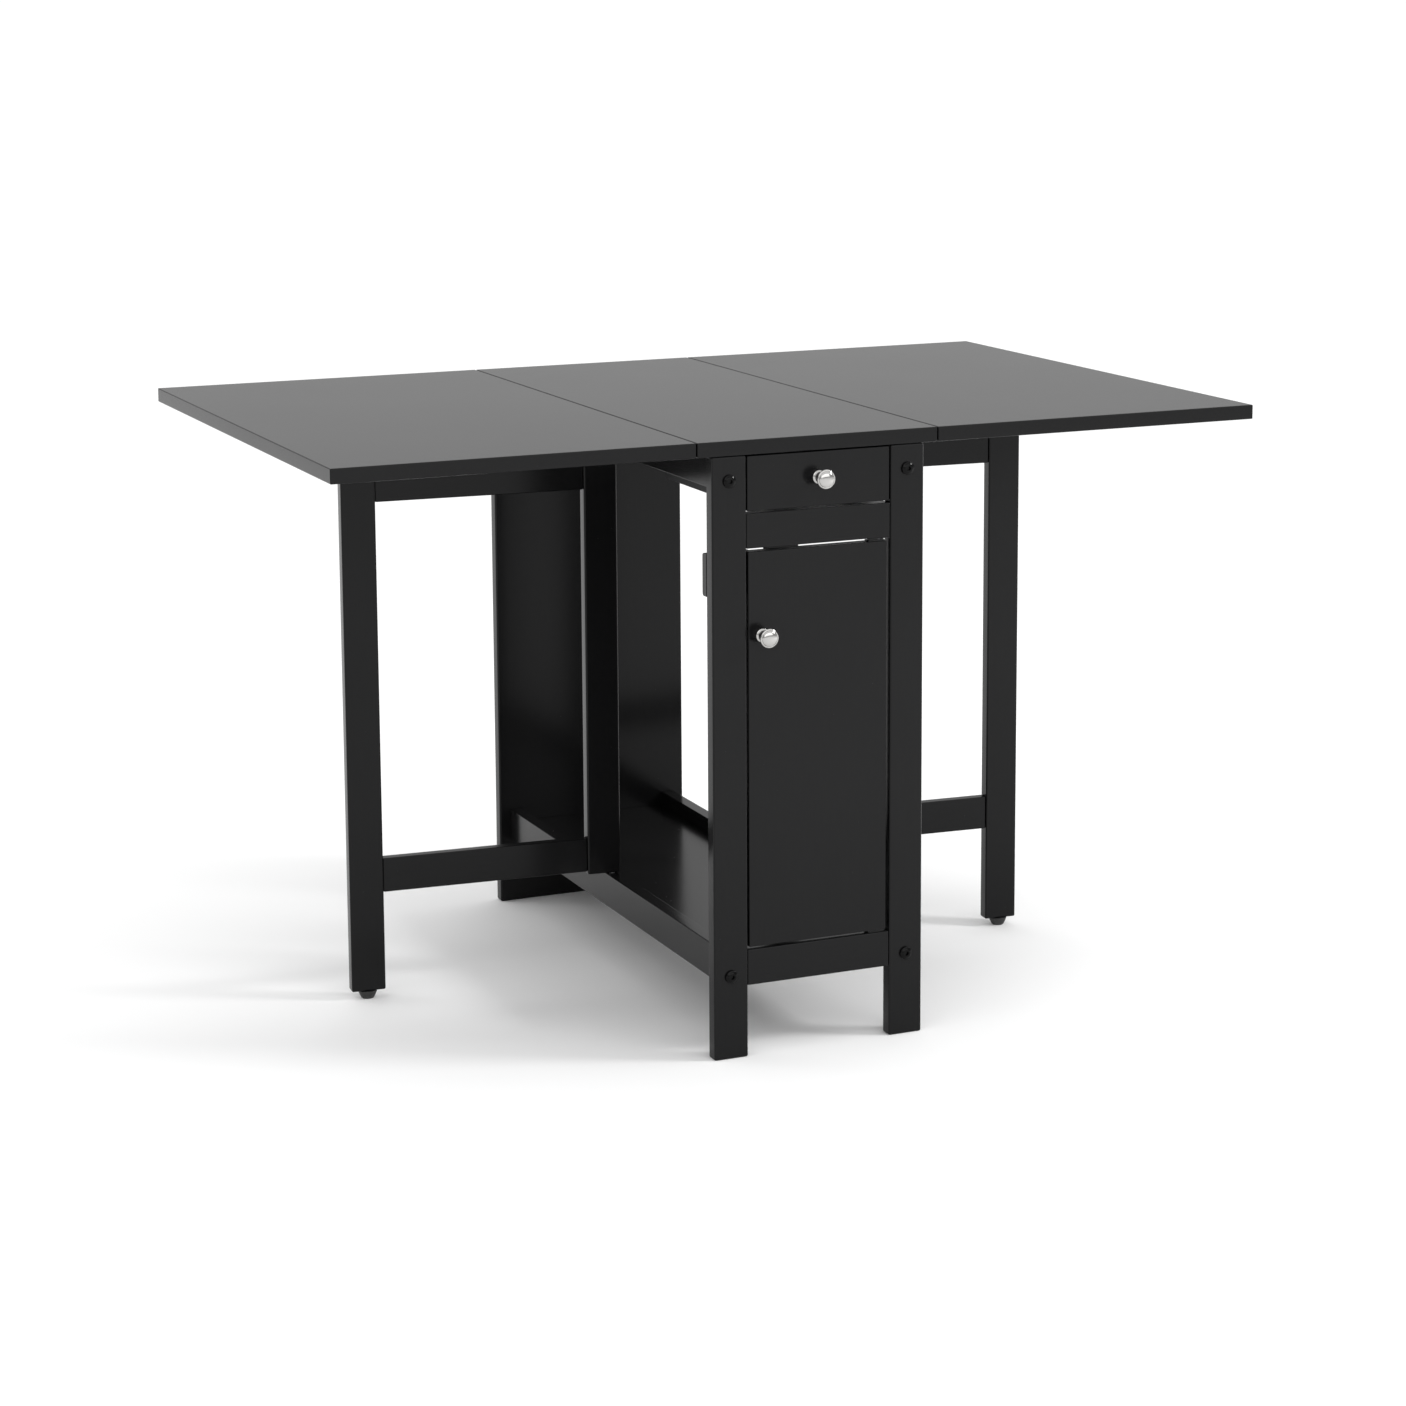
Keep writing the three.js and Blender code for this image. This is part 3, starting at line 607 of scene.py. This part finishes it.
@dataclass
class Fasteners(Assembly):
    """The connecting bolts' heads, the barrel nuts they draw on, and every visible screw."""

    head: float = 16 * MM
    rise: float = 4 * MM
    edge: float = 0.9 * MM
    crown: float = 1.5 * MM
    foot_chamfer: float = 0.3 * MM
    socket: float = 5 * MM
    socket_rim: float = 0.5 * MM
    socket_sink: float = 0.25 * MM
    socket_depth: float = 2.4 * MM
    shank: float = 6 * MM
    shank_length: float = 60 * MM
    bolt_twist: float = 17.0
    left_bolt_twist: float = 11.0
    nut: float = 10 * MM
    nut_inset: float = 34 * MM
    nut_proud: float = 0.3 * MM
    nut_twist: float = 35.0
    slot_width: float = 1.4 * MM
    hinge_pin_inset: float = 2.8 * MM
    hinge_screw_reach: float = 18.2 * MM
    hinge_screw_pitch: float = 20 * MM
    hinge_thickness: float = 2 * MM
    hinge_screw_head: float = 6.6 * MM
    hinge_screw_sink: float = 0.1 * MM
    knob_screw_head: float = 8.5 * MM
    knob_screw_stand: float = 1.6 * MM
    runner_screw_head: float = 6.4 * MM
    runner_screw_shares: tuple = (0.12, 0.5, 0.88)
    catch_screw_head: float = 7 * MM
    catch_screw_inset: float = 15 * MM
    catch_screw_shares: tuple = (0.25, 0.75)
    screw_proud: float = 0.05 * MM
    screw_twist: float = 23.0
    row_twist: float = 7.0

    def bolt_shape(self) -> bmesh.types.BMesh:
        """Builds a domed bolt about Z, its head's seat at the origin and its dome upwards."""
        radius, rise, edge = self.head / 2, self.rise, self.edge
        corner_reach = self.socket / 2 / math.cos(math.pi / 6)
        key, crown, foot = corner_reach + self.socket_rim, self.crown, self.foot_chamfer
        dome = [
            (key + (radius - edge - key) * (1 - t), rise - crown * (1 - t) ** 2)
            for t in (0.0, 0.25, 0.5, 0.75, 1.0)
        ]
        rim = arc((radius - edge, rise - crown - edge), edge, 0, 90, 6)
        profile = [(0, -self.shank_length), (self.shank / 2, -self.shank_length)]
        profile += [(self.shank / 2, 0), (radius - foot, 0), (radius, foot)]
        profile += rim[:-1] + dome
        bm = bmesh.new()
        steps = 48
        turn(bm, profile, steps)
        opening = [side for side in bm.edges if side.is_boundary]
        angles = [math.pi / 3 * corner for corner in range(6)]
        hexagon = [Vector((corner_reach * math.cos(a), corner_reach * math.sin(a))) for a in angles]
        per_side = steps // 6
        ring = []
        for index, corner in enumerate(hexagon):
            following = hexagon[(index + 1) % 6]
            ring += [corner.lerp(following, step / per_side) for step in range(per_side)]
        verts = [bm.verts.new((p.x, p.y, rise - self.socket_sink)) for p in ring]
        edges = [bm.edges.new(pair) for pair in zip(verts, verts[1:] + verts[:1])]
        bmesh.ops.bridge_loops(bm, edges=opening + edges)
        sunk = bmesh.ops.extrude_edge_only(bm, edges=edges)["geom"]
        deep = [item for item in sunk if isinstance(item, bmesh.types.BMVert)]
        bmesh.ops.translate(bm, verts=deep, vec=(0, 0, -self.socket_depth))
        bottom = [item for item in sunk if isinstance(item, bmesh.types.BMEdge)
                  and all(vert in deep for vert in item.verts)]
        bmesh.ops.contextual_create(bm, geom=bottom)
        bmesh.ops.recalc_face_normals(bm, faces=bm.faces)
        return bm

    def bolts(self) -> None:
        """Replaces the eight bolts."""
        for level in ("lower", "upper"):
            for side in SIDES:
                for end in ENDS:
                    node = f"bolt_{level}_{side}_{end}"
                    low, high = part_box(node)
                    middle = (low + high) / 2
                    near = end == "near"
                    seat = low.y + self.rise if near else high.y - self.rise
                    bm = self.bolt_shape()
                    twist = self.bolt_twist * len(node) + self.left_bolt_twist * (side == "left")
                    stand(bm, Axis.FRONT if near else Axis.BACK, (middle.x, seat, middle.z), twist)
                    piece = self.keep(f"{node}_head", bm, "frame", "black_bolts", replaces=[node])
                    auto_sharp(piece, 40)

    def barrel_nuts(self) -> None:
        """Sets a slotted barrel nut in the inner face of each apron and rail, over each bolt's end."""
        for level, board in (("lower", "side_rail"), ("upper", "apron")):
            for side in SIDES:
                low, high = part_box(f"{board}_{side}")
                face = high.x if side == "left" else low.x
                axis = Axis.RIGHT if side == "left" else Axis.LEFT
                for end in ENDS:
                    bolt_low, bolt_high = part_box(f"bolt_{level}_{side}_{end}")
                    height = (bolt_low.z + bolt_high.z) / 2
                    y = low.y + self.nut_inset if end == "near" else high.y - self.nut_inset
                    bm = slotted_disc(self.nut, self.slot_width, self.nut_proud)
                    stand(bm, axis, (face, y, height), self.nut_twist)
                    name = f"barrel_nut_{level}_{side}_{end}"
                    auto_sharp(self.keep(name, bm, "frame", "zinc_steel"), 30)

    def row(self, name: str, body: str, slot: str, feet: list, axis: Axis, head: float) -> None:
        """Makes one piece of several screw heads.

        Args:
            name: the piece's name.
            body: the body it rides on.
            slot: the material slot.
            feet: the middle of each head's rim.
            axis: the direction that the heads face.
            head: their diameter.
        """
        bm = bmesh.new()
        for index, foot in enumerate(feet):
            twist = self.screw_twist * index + self.row_twist * len(name)
            Screw(head=head).add(bm, foot, axis, twist)
        auto_sharp(self.keep(name, bm, body, slot), 30)

    def hinge_screws(self) -> None:
        """Fills the holes of every hinge wing with a screw."""
        for side in SIDES:
            for end in ENDS:
                for wing, body in (("fixed", "frame"), ("moving", f"leaf_{side}")):
                    low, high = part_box(f"hinge_{wing}_{side}_{end}")
                    outward = (side == "right") == (wing == "moving")
                    pin, reach = self.hinge_pin_inset, self.hinge_screw_reach
                    x = low.x + pin + reach if outward else high.x - pin - reach
                    middle, pitch = (low.y + high.y) / 2, self.hinge_screw_pitch
                    rim = high.z - self.hinge_thickness - self.hinge_screw_sink
                    feet = [(x, middle + step * pitch, rim) for step in (-1, 0, 1)]
                    name = f"hinge_screws_{wing}_{side}_{end}"
                    self.row(name, body, "black_hinges", feet, Axis.DOWN, self.hinge_screw_head)

    def knob_screws(self) -> None:
        """Puts the heads of the knobs' machine screws behind the drawer front and the door."""
        for body, board in (("drawer", "drawer_front"), ("door", "door_panel")):
            low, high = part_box(f"{body}_knob")
            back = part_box(board)[1].y
            foot = ((low.x + high.x) / 2, back + self.knob_screw_stand, (low.z + high.z) / 2)
            name = f"{body}_knob_screw"
            self.row(name, body, "zinc_steel", [foot], Axis.BACK, self.knob_screw_head)

    def runner_screws(self) -> None:
        """Screws each runner to its apron from the drawer's side."""
        for side in SIDES:
            low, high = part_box(f"drawer_runner_{side}")
            x = high.x + self.screw_proud if side == "left" else low.x - self.screw_proud
            axis = Axis.RIGHT if side == "left" else Axis.LEFT
            span, middle = high.y - low.y, (low.z + high.z) / 2
            feet = [(x, low.y + span * share, middle) for share in self.runner_screw_shares]
            name = f"runner_screws_{side}"
            self.row(name, "frame", "zinc_steel", feet, axis, self.runner_screw_head)

    def catch_screws(self) -> None:
        """Screws the catch block to the back of its post."""
        low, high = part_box("door_catch_block")
        x, y, span = low.x + self.catch_screw_inset, high.y + self.screw_proud, high.z - low.z
        feet = [(x, y, low.z + span * share) for share in self.catch_screw_shares]
        name = "catch_block_screws"
        self.row(name, "frame", "zinc_steel", feet, Axis.BACK, self.catch_screw_head)


def slotted_disc(diameter: float, slot: float, proud: float) -> bmesh.types.BMesh:
    """Builds a disc about Z with a straight slot across it, standing proud of the origin."""
    bm = bmesh.new()
    depth, sunk, steps = 1.2 * MM, 0.8 * MM, 48
    radius = diameter / 2
    core = radius * 0.98
    for direction in (-1, 1):
        half = bmesh.new()
        bmesh.ops.create_circle(half, cap_ends=True, radius=radius, segments=steps)
        cut = [*half.verts, *half.edges, *half.faces]
        bmesh.ops.bisect_plane(
            half, geom=cut, plane_co=(0, direction * slot / 2, 0), plane_no=(0, -direction, 0),
            clear_outer=True,
        )
        grown = bmesh.ops.extrude_face_region(half, geom=list(half.faces))["geom"]
        raised = [item for item in grown if isinstance(item, bmesh.types.BMVert)]
        bmesh.ops.translate(half, verts=raised, vec=(0, 0, depth + proud))
        bmesh.ops.translate(half, verts=half.verts, vec=(0, 0, -depth))
        bmesh.ops.recalc_face_normals(half, faces=half.faces)
        merge_into(bm, half)
    floor = bmesh.new()
    bmesh.ops.create_cone(
        floor, cap_ends=True, segments=steps, radius1=core, radius2=core,
        depth=depth - sunk, matrix=Matrix.Translation((0, 0, -(depth + sunk) / 2)),
    )
    merge_into(bm, floor)
    return bm


def auto_sharp(piece: bpy.types.Object, degrees: float) -> None:
    """Marks a piece's edges sharp where its faces meet at more than an angle."""
    bm = bmesh.new()
    bm.from_mesh(piece.data)
    for edge in bm.edges:
        edge.smooth = edge.calc_face_angle(0.0) < math.radians(degrees)
    bm.to_mesh(piece.data)
    bm.free()


@dataclass
class Knobs(Assembly):
    """Mushroom knobs of brushed nickel on a small flange."""

    base: float = 16.5 * MM
    lip: float = 0.5 * MM
    shoulder: float = 1.2 * MM
    flare: float = 2.6
    neck: float = 9 * MM
    waist_share: float = 0.42
    cup_share: float = 0.68
    cup_width: float = 0.86
    cup_curve: float = 2.4
    rim: float = 1.5 * MM
    rim_share: float = 0.88
    groove: float = 0.5 * MM
    groove_depth: float = 0.18 * MM
    steps: int = 96

    def profile(self, head: float, reach: float) -> list:
        """Works out the turned profile from the flange to the crown.

        Args:
            head: the diameter of the head.
            reach: the height over the front's face.

        Returns:
            (distance from the axis, height) pairs.
        """
        radius, base, neck = head / 2, self.base / 2, self.neck / 2
        lip, waist, cup = self.lip, reach * self.waist_share, reach * self.cup_share
        points = [(0.0, 0.0)] + arc((base - lip, lip), lip, -90, 90, 8)
        for step in range(1, 13):
            t = step / 12
            spread = (base - self.shoulder - neck) * (1 - t) ** self.flare
            points.append((neck + spread, 2 * lip + (waist - 2 * lip) * t))
        for step in range(1, 10):
            t = step / 9
            swell = (radius * self.cup_width - neck) * t ** self.cup_curve
            points.append((neck + swell, waist + (cup - waist) * t))
        rim, top = self.rim, reach * self.rim_share
        points += arc((radius - rim, top - rim), rim, -60, 88, 14)
        groove, bed = radius - rim - self.groove, top - self.groove_depth
        points.append((groove, bed))
        for step in range(1, 17):
            a = math.pi / 2 * step / 16
            points.append((groove * math.cos(a), bed + (reach - bed) * math.sin(a)))
        return points[:-1] + [(0.0, reach)]

    def build(self) -> None:
        """Replaces both knobs."""
        for body in ("drawer", "door"):
            node = f"{body}_knob"
            low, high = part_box(node)
            bm = bmesh.new()
            turn(bm, self.profile(high.x - low.x, high.y - low.y), self.steps)
            foot = ((low.x + high.x) / 2, high.y, (low.z + high.z) / 2)
            stand(bm, Axis.FRONT, foot)
            piece = self.keep(f"{node}_turned", bm, body, "brushed_nickel", replaces=[node])
            auto_sharp(piece, 50)


# ---- Sub-assemblies ----


@dataclass
class TopBoards(Assembly):
    """The middle board and the two leaves."""

    edge: float = 1.3 * MM

    def build(self) -> None:
        """Rounds the boards' edges."""
        for node in ("centre_top", "leaf_left", "leaf_right"):
            self.soften(node, Grain.ALONG_Y, self.edge)


@dataclass
class LeafHinges(Assembly):
    """The butt hinges below the seams, with rounded plates."""

    edge: float = 0.35 * MM

    def build(self) -> None:
        """Softens the wings' edges and keeps their knuckles and pins."""
        for side in SIDES:
            for end in ENDS:
                for wing in ("fixed", "moving"):
                    piece = self.soften(f"hinge_{wing}_{side}_{end}", Grain.ALONG_Y, self.edge, 2)
                    auto_sharp(piece, 35)


@dataclass
class Cabinet(Assembly):
    """Posts, end panel, aprons, rails, shelf, runners and the door's stop."""

    post_edge: float = 2.2 * MM
    panel_edge: float = 2.6 * MM
    rail_edge: float = 1.3 * MM
    inner_edge: float = 0.8 * MM
    block_edge: float = 0.7 * MM

    def build(self) -> None:
        """Rounds the frame's boards and coats the catch's magnet."""
        for side in SIDES:
            self.soften(f"front_post_{side}", Grain.ALONG_Z, self.post_edge)
            self.soften(f"apron_{side}", Grain.ALONG_Y, self.rail_edge)
            self.soften(f"side_rail_{side}", Grain.ALONG_Y, self.rail_edge)
            self.soften(f"drawer_runner_{side}", Grain.ALONG_Y, self.inner_edge)
        self.soften("end_panel", Grain.ALONG_Z, self.panel_edge)
        self.soften("bottom_shelf", Grain.ALONG_Y, self.inner_edge)
        for node in ("front_rail_lower", "front_rail_upper"):
            self.soften(node, Grain.ALONG_X, self.rail_edge)
        auto_sharp(self.soften("door_catch_block", Grain.ALONG_X, self.block_edge), 50)
        self.coat("catch_magnet")


@dataclass
class Drawer(Assembly):
    """The drawer's front and its box."""

    front_edge: float = 1.2 * MM
    box_edge: float = 0.7 * MM
    bottom_edge: float = 0.3 * MM

    def build(self) -> None:
        """Rounds the front and the box's boards."""
        self.soften("drawer_front", Grain.ALONG_X, self.front_edge)
        for side in SIDES:
            self.soften(f"drawer_side_{side}", Grain.ALONG_Y, self.box_edge)
        self.soften("drawer_back", Grain.ALONG_X, self.box_edge)
        self.soften("drawer_bottom", Grain.ALONG_Y, self.bottom_edge)


@dataclass
class Door(Assembly):
    """The door on its pivots."""

    edge: float = 1.2 * MM
    plate_width: float = 12 * MM
    plate_thickness: float = 1 * MM
    plate_corner: float = 3 * MM
    pin: float = 4 * MM
    pin_chamfer: float = 0.5 * MM

    def build(self) -> None:
        """Rounds the door, coats its plates and makes the pivots."""
        self.soften("door_panel", Grain.ALONG_Z, self.edge)
        for node in ("door_strike", "door_plate_top", "door_plate_bottom"):
            self.coat(node)
        for level in ("top", "bottom"):
            self.pivot(level)

    def pivot(self, level: str) -> None:
        """Makes one pivot's dark plate and the bright pin riveted into it.

        Args:
            level: top, where the pin points down, or bottom, where it points up.
        """
        node = f"door_pivot_{level}"
        low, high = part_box(node)
        foot = high.z - self.plate_thickness if level == "top" else low.z
        plate = self.plate(low, high, foot)
        self.keep(f"{node}_plate", plate, "frame", "black_hinges", replaces=[node], smooth=False)
        inside = foot + self.plate_thickness / 2
        start, end = (low.z, inside) if level == "top" else (inside, high.z)
        radius, chamfer, length = self.pin / 2, self.pin_chamfer, end - start
        profile = [
            (0.0, 0.0), (radius - chamfer, 0.0), (radius, chamfer),
            (radius, length - chamfer), (radius - chamfer, length), (0.0, length),
        ]
        bm = bmesh.new()
        turn(bm, profile, 32)
        stand(bm, Axis.UP, (high.x - self.plate_width / 2, (low.y + high.y) / 2, start))
        pin = self.keep(f"{node}_pin", bm, "frame", "zinc_steel", replaces=[node])
        auto_sharp(pin, 30)

    def plate(self, low: Vector, high: Vector, foot: float) -> bmesh.types.BMesh:
        """Makes a flat plate with round corners.

        Args:
            low: the low corner of its box.
            high: the high corner of its box.
            foot: the height of its lower face.

        Returns:
            The plate's mesh.
        """
        corner = self.plate_corner
        left, right = low.x + corner, high.x - corner
        front, rear = low.y + corner, high.y - corner
        outline = []
        for start, centre in enumerate(((right, rear), (left, rear), (left, front), (right, front))):
            outline += arc(centre, corner, 90 * start, 90 * (start + 1), 8)
        bm = bmesh.new()
        face = bm.faces.new([bm.verts.new((x, y, foot)) for x, y in outline])
        grown = bmesh.ops.extrude_face_region(bm, geom=[face])["geom"]
        raised = [part for part in grown if isinstance(part, bmesh.types.BMVert)]
        bmesh.ops.translate(bm, verts=raised, vec=(0, 0, self.plate_thickness))
        bmesh.ops.recalc_face_normals(bm, faces=bm.faces)
        return bm


@dataclass
class Gate(Assembly):
    """One gate: two uprights, two rails, two pins and a glide."""

    side: str = "left"
    post_edge: float = 2.2 * MM
    rail_edge: float = 1.3 * MM
    glide_height: float = 10.6 * MM
    glide_top: float = 24 * MM
    glide_bottom: float = 17.5 * MM
    glide_corner: float = 2.4 * MM
    glide_bulge: float = 0.25 * MM
    glide_undercut: float = 0.1 * MM
    glide_lip: float = 0.7 * MM

    def build(self) -> None:
        """Rounds the boards, turns the glide and coats the pins."""
        self.soften(f"gate_inner_post_{self.side}", Grain.ALONG_Z, self.post_edge)
        self.soften(f"gate_leg_{self.side}", Grain.ALONG_Z, self.post_edge)
        for level in ("lower", "upper"):
            self.soften(f"gate_rail_{level}_{self.side}", Grain.ALONG_X, self.rail_edge)
            self.coat(f"gate_pin_{level}_{self.side}")
        self.glide()

    def glide(self) -> None:
        """Turns the bowl-shaped glide with its rounded foot and lip."""
        node = f"gate_glide_{self.side}"
        low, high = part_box(node)
        height, top, bottom = self.glide_height, self.glide_top / 2, self.glide_bottom / 2
        corner, lip = self.glide_corner, self.glide_lip
        profile = [(0.0, 0.0), (bottom - corner, 0.0)]
        profile += arc((bottom - corner, corner), corner, -88, -18, 8)
        wall_start, wall_end = profile[-1], (top - self.glide_undercut, height - 2 * lip)
        for step in range(1, 7):
            t = step / 6
            bulge = math.sin(math.pi * t) * self.glide_bulge
            distance = wall_start[0] + (wall_end[0] - wall_start[0]) * t + bulge
            profile.append((min(distance, top), wall_start[1] + (wall_end[1] - wall_start[1]) * t))
        profile += arc((top - lip, height - lip), lip, 0, 90, 6)
        profile.append((0.0, height))
        bm = bmesh.new()
        turn(bm, profile, 64)
        stand(bm, Axis.UP, ((low.x + high.x) / 2, (low.y + high.y) / 2, low.z))
        piece = self.keep(f"{node}_turned", bm, f"gate_{self.side}", "glide_plastic", replaces=[node])
        auto_sharp(piece, 50)


# ---- Studio ----


@dataclass
class Studio:
    """A white floor, a pale room and soft lights, with the camera in front on the left."""

    floor_size: float = 1200.0
    floor_shades: tuple = (0.93, 0.95)
    floor_cloud: float = 1.5
    sky_band: tuple = (0.22, 0.75)
    low_sky: float = 0.60
    high_sky: float = 1.30
    eye: tuple = (-1.6682, -3.8729, 1.3165)
    turn: float = 23.444
    dip: float = 9.29
    roll: float = 0.331
    sensor: float = 36.0
    lens: float = 85.1121
    shift: float = -0.15
    clip: tuple = (0.05, 2000.0)

    def build(self) -> None:
        """Makes the floor, the room, the lights and the camera."""
        self.floor()
        self.world()
        self.softbox("key_light", (3.0, -1.8, 2.3), (0.4, -0.3, 0.2), (0.7, 0.7), 58.0)
        self.softbox("front_panel", (0.6, -7.5, 2.8), (0.0, 0.0, 0.6), (9.0, 3.0), 150.0)
        self.softbox("back_light", (-3.6, 2.6, 1.7), (0.0, 0.0, 0.2), (1.4, 1.4), 20.0)
        self.camera()

    def floor(self) -> None:
        """Lays the floor, which isn't part of the table."""
        bm = bmesh.new()
        bmesh.ops.create_grid(bm, x_segments=8, y_segments=8, size=self.floor_size / 2)
        mesh = bpy.data.meshes.new("studio_floor")
        bm.to_mesh(mesh)
        bm.free()
        shader = Shader("studio_floor")
        cloud = shader.noise(shader.place(), self.floor_cloud, detail=2.0)
        low, high = self.floor_shades
        shader.set(
            Base_Color=shader.mix(cloud, (low,) * 3, (high,) * 3),
            Roughness=0.9,
            Specular_IOR_Level=0.1,
        )
        mesh.materials.append(shader.material)
        plane = bpy.data.objects.new("studio_floor", mesh)
        bpy.context.scene.collection.objects.link(plane)

    def world(self) -> None:
        """Fills the room with white light that is brighter overhead."""
        room = Room("studio_room")
        way = room.node("ShaderNodeTexCoord", {}, {}, "Generated")
        up = room.node("ShaderNodeSeparateXYZ", {}, {0: way}, "Z")
        room.set(
            Color=(1.0, 1.0, 1.0, 1.0),
            Strength=room.ramp(up, *self.sky_band, self.low_sky, self.high_sky),
        )
        bpy.context.scene.world = room.world

    def softbox(self, name: str, place: Point, aim: Point, size: tuple, watts: float) -> None:
        """Hangs a softbox.

        Args:
            name: the light's name.
            place: where it hangs.
            aim: the point it faces.
            size: its width and height.
            watts: its power.
        """
        data = bpy.data.lights.new(name, "AREA")
        data.shape, data.energy = "RECTANGLE", watts
        data.size, data.size_y = size
        lamp = bpy.data.objects.new(name, data)
        lamp.location = place
        lamp.rotation_euler = (Vector(aim) - Vector(place)).to_track_quat("-Z", "Y").to_euler()
        bpy.context.scene.collection.objects.link(lamp)

    def camera(self) -> None:
        """Sets the camera up with its small vertical shift."""
        data = bpy.data.cameras.new("camera")
        data.sensor_width, data.lens = self.sensor, self.lens
        data.shift_y = self.shift
        data.clip_start, data.clip_end = self.clip
        camera = bpy.data.objects.new("camera", data)
        turned = Matrix.Rotation(math.radians(-self.turn), 4, "Z")
        dipped = Matrix.Rotation(math.radians(90 - self.dip), 4, "X")
        rolled = Matrix.Rotation(math.radians(-self.roll), 4, "Z")
        camera.matrix_world = Matrix.Translation(self.eye) @ turned @ dipped @ rolled
        bpy.context.scene.collection.objects.link(camera)
        bpy.context.scene.camera = camera


def main() -> None:
    """Builds every sub-assembly in order, then the studio."""
    logging.basicConfig(level=logging.INFO, format="%(name)s: %(message)s")
    bpy.context.scene.view_settings.view_transform = "Standard"
    palette = Palette()
    parts: list = [
        TopBoards(palette), LeafHinges(palette), Cabinet(palette), Drawer(palette), Door(palette),
        Knobs(palette), *(Gate(palette, side=side) for side in SIDES),
    ]
    for part in parts:
        part.build()
    fasteners = Fasteners(palette)
    fasteners.bolts()
    fasteners.barrel_nuts()
    fasteners.hinge_screws()
    fasteners.knob_screws()
    fasteners.runner_screws()
    fasteners.catch_screws()
    Studio().build()
    LOG.info("%d pieces", sum(part.made for part in parts) + fasteners.made)


if __name__ == "__main__":
    main()
